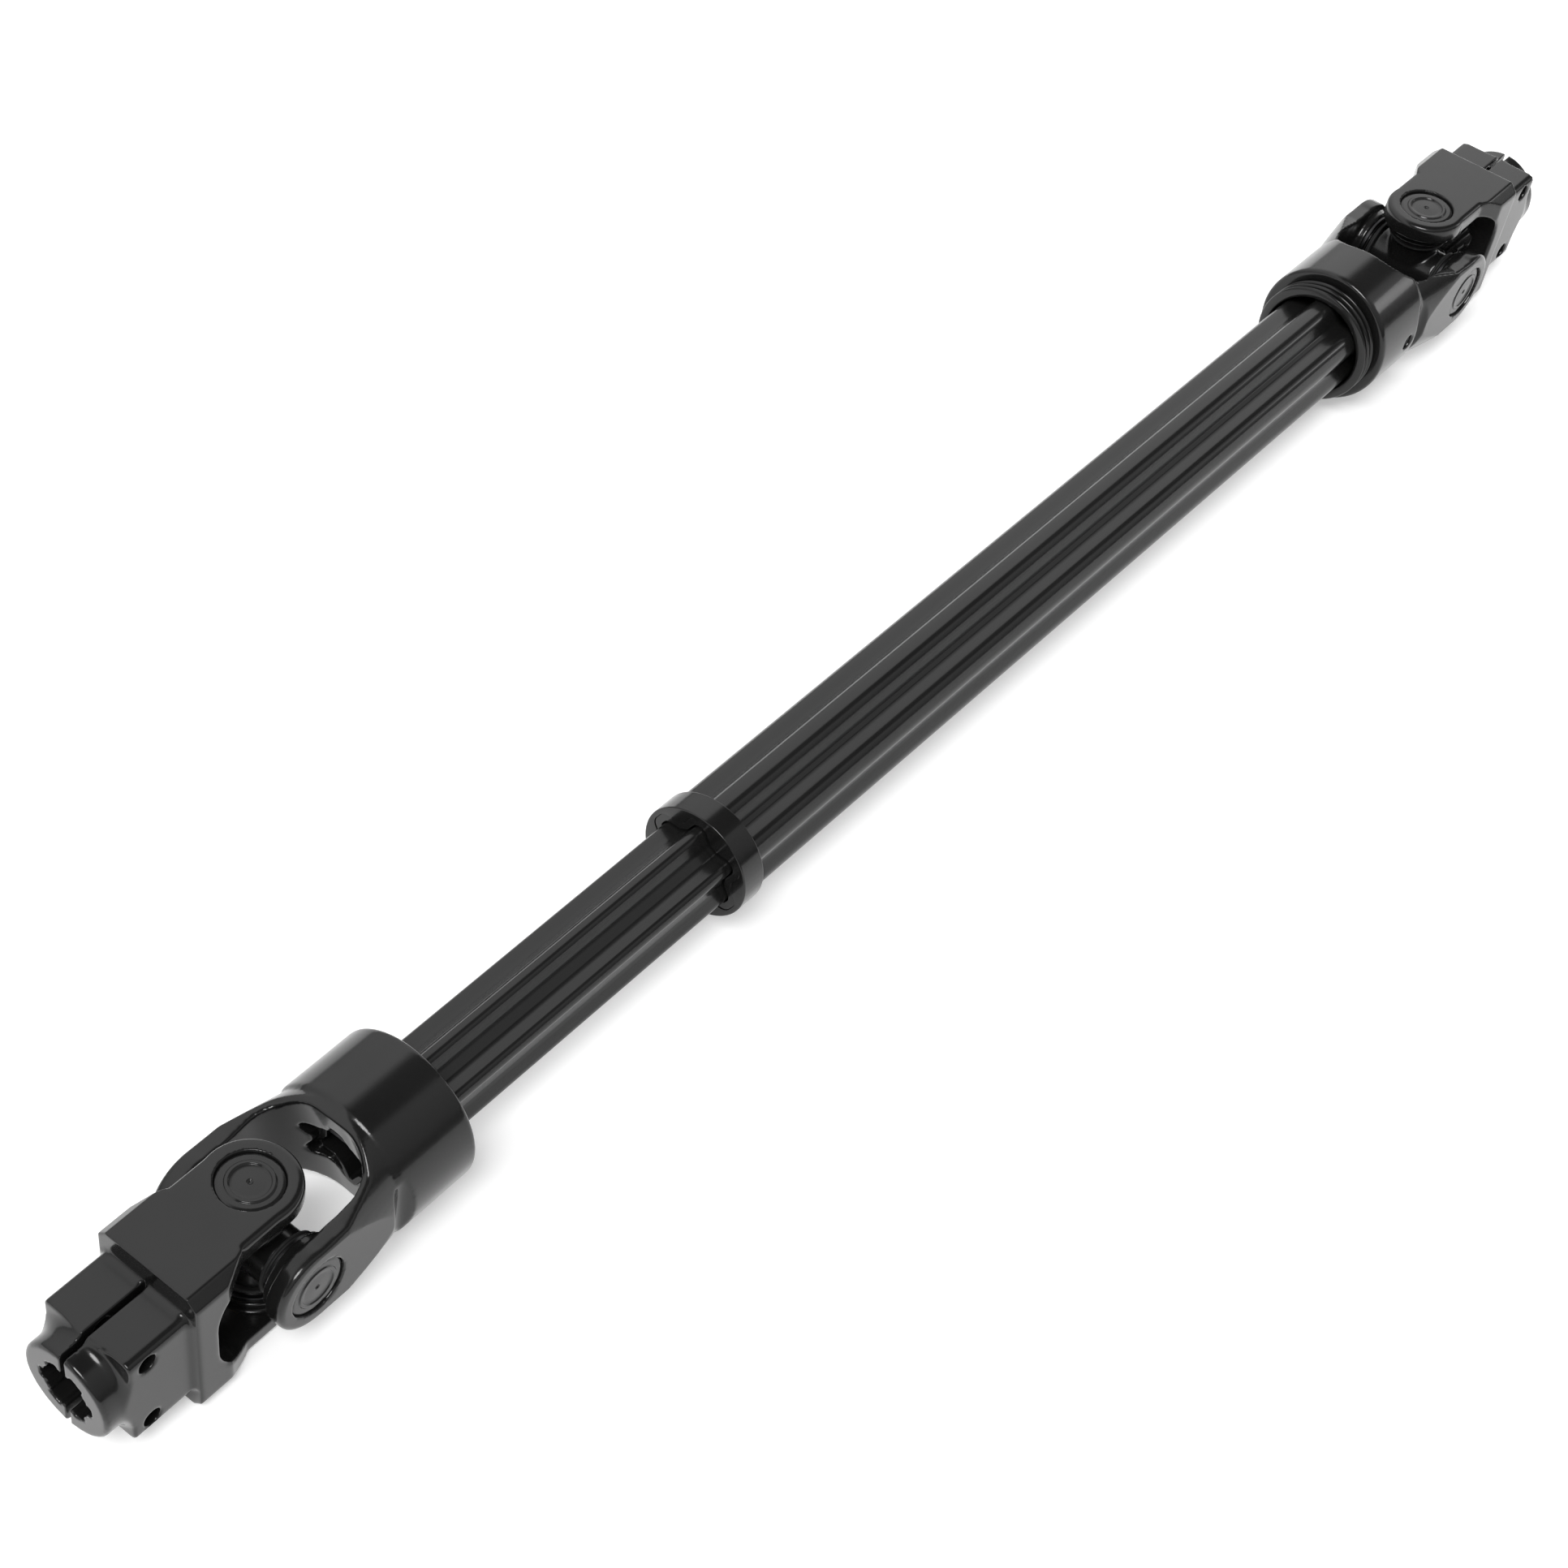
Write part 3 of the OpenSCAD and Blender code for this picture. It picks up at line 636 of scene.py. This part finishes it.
def finishes():
    """Makes every finish once and returns them by name."""
    if not MATERIALS:
        look = bpy.context.scene.shaft_finish
        coat, gloss = tuple(look.coat), look.coat_gloss
        MATERIALS["casting"] = coating("casting_black", coat, gloss, 0.05, 0.08, 0.5)
        MATERIALS["ring"] = coating("ring_black", shade(coat, 0.95)[:3], gloss - 0.02, 0.05, 0.06)
        MATERIALS["cup"] = coating("cup_black", shade(coat, 1.05)[:3], gloss, 0.06, 0.1)
        MATERIALS["tube"] = drawn_coating("tube_black", coat, gloss)
        MATERIALS["cross"] = coating("cross_black", shade(coat, 0.9)[:3], gloss + 0.06, 0.14, 0.25)
        MATERIALS["steel"] = ground_steel("ground_steel", tuple(look.steel), 0.3, 0.1)
        MATERIALS["dark_steel"] = ground_steel("dark_steel", (0.07, 0.07, 0.072), 0.34, 0.3)
        MATERIALS["brass"] = ground_steel("nipple_brass", tuple(look.brass), 0.3, 0.3)
        MATERIALS["rubber"] = moulded_rubber("seal_rubber", (0.012, 0.012, 0.012))
    return MATERIALS


# ---- Operators: one for each piece or group of like pieces ----


def cast_piece(node, paint, machined):
    """Stands a rounded casting in for a CAD node.

    It stays crisper where machined is true, which takes points measured from the joint centre.
    """
    shape = bpy.context.scene.shaft_shape
    centre = np.array([joint_x(node.split("_")[0]), 0, 0])

    def passes(points):
        return np.where(machined(points - centre), shape.bore_passes, shape.casting_passes)

    stand_for(cast_copy(node, node + "_body", shape.cell, passes), node, paint)


class SHAFT_OT_clamp_yokes(bpy.types.Operator):
    """Rounds the two clamp yokes as castings and leaves their bores, screw holes and slits crisp"""

    bl_idname = "shaft.clamp_yokes"
    bl_label = "Clamp yokes"

    def execute(self, context):
        bore, screw, slit = 19 * MM, 6.5 * MM, 2.6 * MM
        screw_x, screw_z = 94.5 * MM, 23.5 * MM

        def machined(p):
            in_bore = np.hypot(p[:, 1], p[:, 2]) < bore
            in_bearing = np.hypot(p[:, 0], p[:, 1]) < BEARING_ZONE
            by_screw = np.hypot(np.abs(p[:, 0]) - screw_x, np.abs(p[:, 2]) - screw_z) < screw
            in_slit = (np.abs(p[:, 1]) < slit) & (np.abs(p[:, 0]) > BLOCK_FROM)
            return in_bore | in_bearing | by_screw | in_slit

        for end in ENDS:
            cast_piece(end + "_clamp_yoke", finishes()["casting"], machined)
        return {"FINISHED"}


class SHAFT_OT_shaft_yokes(bpy.types.Operator):
    """Rounds the two shaft yokes as castings and leaves their bearing bores and tube mouths crisp"""

    bl_idname = "shaft.shaft_yokes"
    bl_label = "Shaft yokes"

    def execute(self, context):
        mouth = 41 * MM

        def machined(p):
            in_mouth = (np.hypot(p[:, 1], p[:, 2]) < mouth) & (np.abs(p[:, 0]) > BLOCK_FROM)
            return in_mouth | (np.hypot(p[:, 0], p[:, 2]) < BEARING_ZONE)

        for end in ENDS:
            cast_piece(end + "_shaft_yoke", finishes()["casting"], machined)
        return {"FINISHED"}


class SHAFT_OT_crosses(bpy.types.Operator):
    """Rounds the two forged crosses and leaves their ground trunnions crisp"""

    bl_idname = "shaft.crosses"
    bl_label = "Crosses"

    def execute(self, context):
        trunnion_from = 21 * MM

        def machined(p):
            return np.maximum(np.abs(p[:, 1]), np.abs(p[:, 2])) > trunnion_from

        for end in ENDS:
            cast_piece(end + "_cross", finishes()["cross"], machined)
        return {"FINISHED"}


def along_x(x, way):
    """Lays a part drawn along +Z on the shaft's axis, from station x towards +X or -X."""
    return Matrix.Translation((x, 0, 0)) @ Matrix.Rotation(way * math.pi / 2, 4, "Y")


class SHAFT_OT_tubes(bpy.types.Operator):
    """Makes the six-lobed inner tube and the matching outer tube with rounded ends"""

    bl_idname = "shaft.tubes"
    bl_label = "Lobed tubes"

    def execute(self, context):
        shape, paint = context.scene.shaft_shape, finishes()["tube"]
        inner_box, outer_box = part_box("inner_tube"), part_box("outer_tube")
        tip = self.tip(inner_box)
        sleeve_tip = self.tip(outer_box)

        def lobes(grow, corner, extra=0.0):
            total = grow + extra
            return lobe_outline(tip + total, shape.lobe_side + total, shape.lobe_floor + total, corner)

        wall = sleeve_tip - tip
        pieces = {
            "inner_tube": (
                inner_box, lambda e: lobes(0, shape.lobe_round, e),
                lambda e: lobes(-shape.inner_wall, shape.lobe_round - shape.inner_wall + 0.3 * MM, e)
            ),
            "outer_tube": (
                outer_box, lambda e: lobes(wall, shape.sleeve_round, e),
                lambda e: lobes(shape.slide_gap, shape.lobe_round + shape.slide_gap, e)
            ),
        }
        for node, (box, outer, inner) in pieces.items():
            piece = lobed_tube(node + "_drawn", box, outer, inner, shape.turned_edge)
            smooth(piece)
            stand_for(piece, node, paint)
        return {"FINISHED"}

    @staticmethod
    def tip(box):
        """Reach of a lobe tip, read from a tube's height: the top lobe stands straight up."""
        return box[1][2]


class SHAFT_OT_collar(bpy.types.Operator):
    """Makes the round collar on the outer tube's end, with a lobed hole and rounded edges"""

    bl_idname = "shaft.collar"
    bl_label = "Tube collar"

    def execute(self, context):
        shape = context.scene.shaft_shape
        low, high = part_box("tube_collar")
        tip = SHAFT_OT_tubes.tip(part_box("outer_tube"))
        grow = tip - SHAFT_OT_tubes.tip(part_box("inner_tube"))
        hole = lobe_outline(tip, shape.lobe_side + grow, shape.lobe_floor + grow, shape.sleeve_round)
        radius, edge = high[2], 2 * shape.turned_edge
        eased_hole = hole * 1.004
        a = np.linspace(0, math.pi / 2, 5)
        rims = [(edge * (1 - math.cos(k)), round_outline(hole, radius - edge * (1 - math.sin(k)))) for k in a]
        rows = [(low[0] + inset, rim) for inset, rim in rims]
        rows += [(high[0] - inset, rim) for inset, rim in rims[::-1]]
        rows += [
            (high[0], eased_hole), (high[0] - edge / 4, hole), (low[0] + edge / 4, hole), (low[0], eased_hole)
        ]
        piece = sleeve("tube_collar_turned", rows)
        smooth(piece)
        stand_for(piece, "tube_collar", finishes()["ring"])
        return {"FINISHED"}


class SHAFT_OT_lock_ring(bpy.types.Operator):
    """Makes the ridged ring between the outer tube and the rear hub"""

    bl_idname = "shaft.lock_ring"
    bl_label = "Lock ring"

    def execute(self, context):
        shape = context.scene.shaft_shape
        low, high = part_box("lock_ring")
        length, top = high[0] - low[0], high[2]
        out, bore, depth, ridges = 14 * MM, 33.25 * MM, 2.4 * MM, 3
        pitch, body = out / ridges, top - depth
        along = np.linspace(0, out, 20 * ridges + 1)
        swell = np.clip(np.cos((along / pitch - 0.42) * 2 * math.pi) + 0.35, 0, None) / 1.35
        crest = np.column_stack([body + depth * swell**0.6, along])
        lead = body - np.array([2.2, 1.1, 0.35]) * MM
        nose = np.column_stack([lead, np.array([0, 0.08, 0.35]) * MM])
        crest = crest[crest[:, 1] > 0.5 * MM]
        ease = 0.6 * MM
        tail = np.array([
            [body, out + 0.2 * MM], [body, length], [bore, length], [bore, ease], [bore + ease, 0]
        ])
        outline = np.concatenate([nose, crest, tail])
        piece = turned("lock_ring_ridged", outline, shape.turns, along_x(low[0], 1))
        smooth(piece)
        stand_for(piece, "lock_ring", finishes()["ring"])
        return {"FINISHED"}


class SHAFT_OT_bearing_cups(bpy.types.Operator):
    """Makes the eight bearing cups, with a raised ring, a centre dimple, a chamfer and a snap ring groove"""

    bl_idname = "shaft.bearing_cups"
    bl_label = "Bearing cups"

    def execute(self, context):
        shape = context.scene.shaft_shape
        low, high = (np.array(corner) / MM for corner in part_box("front_cup_top"))
        foot, crown, r = low[2], high[2], high[1]
        face, bore = crown - 0.7, 15.13
        profile = [
            (0, face - 0.9), (0.9, face - 0.75), (1.7, face), (8.6, face - 0.15), (10.1, face), (10.6, crown),
            (12.2, crown), (12.8, face), (15.6, face - 0.05), (r - 0.35, face - 0.5), (r, face - 1.5),
            (r, foot + 2.7), (r - 0.75, foot + 2.6), (r - 0.75, foot + 0.8), (r, foot + 0.7), (r, foot + 0.3),
            (r - 0.3, foot), (15.5, foot), (bore, foot + 0.4), (bore, face - 4.4), (14.6, face - 4),
            (0, face - 4)
        ]
        cuts = [0, 0.3, 0.4, 0.5, 0.3, 0.3, 0.3, 0.3, 0.4, 0.5, 0.6] + [0.1] * 10 + [0]
        outline = softened(profile, cuts, 5)[2:-2] * MM
        outline[0, 0] = outline[-1, 0] = 0
        for end in ENDS:
            for side in SIDES:
                node = "_".join((end, "cup", side))
                piece = turned(node + "_pressed", outline, shape.turns, bearing_place(end, side))
                smooth(piece)
                stand_for(piece, node, finishes()["cup"])
        return {"FINISHED"}


class SHAFT_OT_seals(bpy.types.Operator):
    """Makes the eight lip seals, with a flange, two grooves and a soft outer lip"""

    bl_idname = "shaft.seals"
    bl_label = "Lip seals"

    def execute(self, context):
        shape = context.scene.shaft_shape
        low, high = (np.array(corner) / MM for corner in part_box("front_seal_top"))
        foot, top, r = low[2], high[2], high[1]
        bore = 12.0
        profile = [
            (bore, foot), (bore + 1.4, foot), (bore + 1.8, foot + 0.5), (bore + 2.4, foot + 0.5),
            (bore + 2.8, foot), (r - 0.7, foot), (r, foot + 0.5), (r, foot + 1.3), (r - 0.5, foot + 1.8),
            (r - 1.1, foot + 1.9), (r - 1.0, top - 0.3), (r - 1.7, top), (bore + 1.6, top),
            (bore + 1.2, top - 0.6), (bore + 0.7, top - 0.6), (bore, top - 0.1)
        ]
        outline = softened(profile, [0.25] * len(profile), 4) * MM
        for end in ENDS:
            for side in SIDES:
                node = "_".join((end, "seal", side))
                piece = turned(node + "_moulded", outline, shape.turns, bearing_place(end, side))
                smooth(piece)
                stand_for(piece, node, finishes()["rubber"])
        return {"FINISHED"}


class SHAFT_OT_grease_nipples(bpy.types.Operator):
    """Makes the two grease nipples, each a hexagon under a waisted neck and a ball with a greasing hole"""

    bl_idname = "shaft.grease_nipples"
    bl_label = "Grease nipples"

    def execute(self, context):
        low, high = (np.array(corner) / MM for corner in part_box("front_grease_nipple"))
        length = high[0] - low[0]
        root = 9.0
        profile = [
            (0, 0), (2.6, 0), (3, 0.5), (3, root - 0.1), (4.0, root), (4.3, root + 0.3), (4.3, root + 2.6),
            (3.9, root + 3), (2.7, root + 3.1), (1.8, root + 5.6), (1.7, root + 6), (2.2, root + 6.8),
            (2.24, length - 2), (1.6, length - 0.6), (0.75, length - 0.1), (0.6, length - 0.5),
            (0, length - 1.2)
        ]
        outline = softened(profile, [0] + [0.25] * (len(profile) - 2) + [0], 4)[3:-3] * MM
        outline[0, 0] = outline[-1, 0] = 0
        for end, way in (("front", 1), ("rear", -1)):
            node = end + "_grease_nipple"
            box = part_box(node)
            piece = turned(node + "_turned", outline, 72, Matrix())
            co = points_of(piece.data)
            angle = np.arctan2(co[:, 1], co[:, 0])
            flat = np.cos((angle + math.pi / 6) % (math.pi / 3) - math.pi / 6)
            in_hex = (co[:, 2] > (root + 0.2) * MM) & (co[:, 2] < (root + 2.8) * MM)
            grow = np.where(in_hex, np.minimum(1 / flat, 1.12) * 1.03, 1.0)
            co[:, :2] *= grow[:, None]
            piece.data.vertices.foreach_set("co", co.ravel())
            tail = box[1][0] if way > 0 else box[0][0]
            piece.data.transform(along_x(tail, -way))
            smooth(piece)
            stand_for(piece, node, finishes()["brass"])
        return {"FINISHED"}


class SHAFT_OT_snap_rings(bpy.types.Operator):
    """Makes the eight open snap rings, thick at the back and eased to two lugs at the mouth"""

    bl_idname = "shaft.snap_rings"
    bl_label = "Snap rings"

    def execute(self, context):
        low, high = (np.array(corner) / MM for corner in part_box("front_snap_top"))
        top, foot, r_out, r_in = high[2], low[2], high[1], 16.75
        steps, lug = 96, 4.2
        half_mouth = math.asin(lug / r_out)
        a = np.linspace(-math.pi + half_mouth, math.pi - half_mouth, steps)
        off = np.abs(a) / (math.pi - half_mouth)
        width = (r_out - r_in) * (1 - 0.3 * off**2) * np.where(off > 0.93, 1.25, 1.0)
        width = np.minimum(width, r_out - r_in)
        section = softened([(0, foot), (1, foot), (1, top), (0, top)], [0.16] * 4, 4)
        rows = np.array([
            np.column_stack([
                (r_in + u * width) * np.cos(a), (r_in + u * width) * np.sin(a), np.full(steps, z)
            ])
            for u, z in section
        ]).transpose(1, 0, 2)
        middle = rows.mean(axis=1, keepdims=True)
        rows = np.concatenate([
            np.broadcast_to(middle[:1], rows[:1].shape), rows, np.broadcast_to(middle[-1:], rows[:1].shape)
        ])
        points = rows.reshape(-1, 3) * MM
        faces = grid_faces(rows.shape[0], rows.shape[1], False)
        for end in ENDS:
            for side in SIDES:
                node = "_".join((end, "snap", side))
                piece = new_piece(node + "_ring", points, faces)
                piece.data.transform(bearing_place(end, side))
                smooth(piece)
                stand_for(piece, node, finishes()["dark_steel"])
        return {"FINISHED"}


class SHAFT_OT_tube_pins(bpy.types.Operator):
    """Rounds the two rolled spring pins that hold the tubes in the hubs"""

    bl_idname = "shaft.tube_pins"
    bl_label = "Tube pins"

    def execute(self, context):
        for end in ENDS:
            node = end + "_tube_pin"
            piece = joined_copy(node, node + "_rolled")
            round_edges(piece, context.scene.shaft_shape.turned_edge)
            smooth(piece)
            stand_for(piece, node, finishes()["dark_steel"])
        return {"FINISHED"}


class SHAFT_OT_small_steel(bpy.types.Operator):
    """Gives the needles, the CAD nodes that stay showing, their ground steel"""

    bl_idname = "shaft.small_steel"
    bl_label = "Small parts"

    def execute(self, context):
        for node, piece in frame["nodes"].items():
            if SLOT_OF[node] == "needle_steel":
                piece.data.materials.clear()
                piece.data.materials.append(finishes()["steel"])
        return {"FINISHED"}


class SHAFT_OT_stage(bpy.types.Operator):
    """Sets the pale floor, the soft studio light and the camera"""

    bl_idname = "shaft.stage"
    bl_label = "Stage"

    def execute(self, context):
        scene, look = context.scene, context.scene.stage_look
        low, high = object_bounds()
        middle = (low + high) / 2
        half_side, drop = 12.0, 0.2 * MM
        corners = np.array([(-1, -1), (1, -1), (1, 1), (-1, 1)]) * half_side + np.array(middle[:2])
        points = np.column_stack([corners, np.full(4, low[2] - drop)])
        floor = new_piece("floor", points, np.array([[0, 1, 2, 3]]))
        if floor.data.polygons[0].normal.z < 0:
            floor.data.flip_normals()
        floor.data.materials.append(floor_paint("floor_pale", tuple(look.floor_tone), look.floor_glow))
        floor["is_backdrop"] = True

        scene.world = studio(look.room)
        sun = bpy.data.lights.new("key", "SUN")
        sun.energy, sun.angle = look.key, math.radians(24)
        key = bpy.data.objects.new("key", sun)
        scene.collection.objects.link(key)
        key_from = Vector((-0.5, -0.2, 0.84))
        key.rotation_euler = key_from.to_track_quat("Z", "Y").to_euler()

        small = bpy.data.lights.new("glint", "AREA")
        small.size, small.energy = 0.22, look.glint
        glint = bpy.data.objects.new("glint", small)
        scene.collection.objects.link(glint)
        lit_point = Vector((1.13, 0, 0))
        glint.location = (2.08, -0.62, 0.5)
        glint.rotation_euler = (glint.location - lit_point).to_track_quat("Z", "Y").to_euler()

        camera_data = bpy.data.cameras.new("camera")
        camera_data.lens = look.lens
        camera_data.sensor_width = 36
        camera_data.shift_x, camera_data.shift_y = look.camera_shift
        camera_data.clip_start, camera_data.clip_end = 0.01, 50
        camera = bpy.data.objects.new("camera", camera_data)
        scene.collection.objects.link(camera)
        camera.location = look.camera_at
        camera.rotation_euler = look.camera_turn
        scene.camera = camera
        scene.view_settings.view_transform = "Standard"
        return {"FINISHED"}


class SHAFT_PT_panel(bpy.types.Panel):
    """Lists the operators and the sizes and colours they use"""

    bl_idname = "SHAFT_PT_panel"
    bl_label = "Joint shaft"
    bl_space_type = "VIEW_3D"
    bl_region_type = "UI"
    bl_category = "Joint shaft"

    def draw(self, context):
        for operator in OPERATORS:
            self.layout.operator(operator.bl_idname)
        for group in (context.scene.shaft_shape, context.scene.shaft_finish, context.scene.stage_look):
            box = self.layout.box()
            for key in group.__annotations__:
                box.prop(group, key)


GROUPS = (ShaftShape, ShaftFinish, StageLook)
OPERATORS = (
    SHAFT_OT_clamp_yokes,
    SHAFT_OT_shaft_yokes,
    SHAFT_OT_crosses,
    SHAFT_OT_tubes,
    SHAFT_OT_collar,
    SHAFT_OT_lock_ring,
    SHAFT_OT_bearing_cups,
    SHAFT_OT_seals,
    SHAFT_OT_grease_nipples,
    SHAFT_OT_snap_rings,
    SHAFT_OT_tube_pins,
    SHAFT_OT_small_steel,
    SHAFT_OT_stage,
)


def register():
    for cls in GROUPS + OPERATORS + (SHAFT_PT_panel,):
        bpy.utils.register_class(cls)
    bpy.types.Scene.shaft_shape = PointerProperty(type=ShaftShape)
    bpy.types.Scene.shaft_finish = PointerProperty(type=ShaftFinish)
    bpy.types.Scene.stage_look = PointerProperty(type=StageLook)


def unregister():
    del bpy.types.Scene.shaft_shape
    del bpy.types.Scene.shaft_finish
    del bpy.types.Scene.stage_look
    for cls in reversed(GROUPS + OPERATORS + (SHAFT_PT_panel,)):
        bpy.utils.unregister_class(cls)


def main():
    register()
    for operator in OPERATORS:
        group, name = operator.bl_idname.split(".")
        if getattr(getattr(bpy.ops, group), name)() != {"FINISHED"}:
            raise RuntimeError(operator.bl_label + " did not finish")


if __name__ == "__main__":
    main()
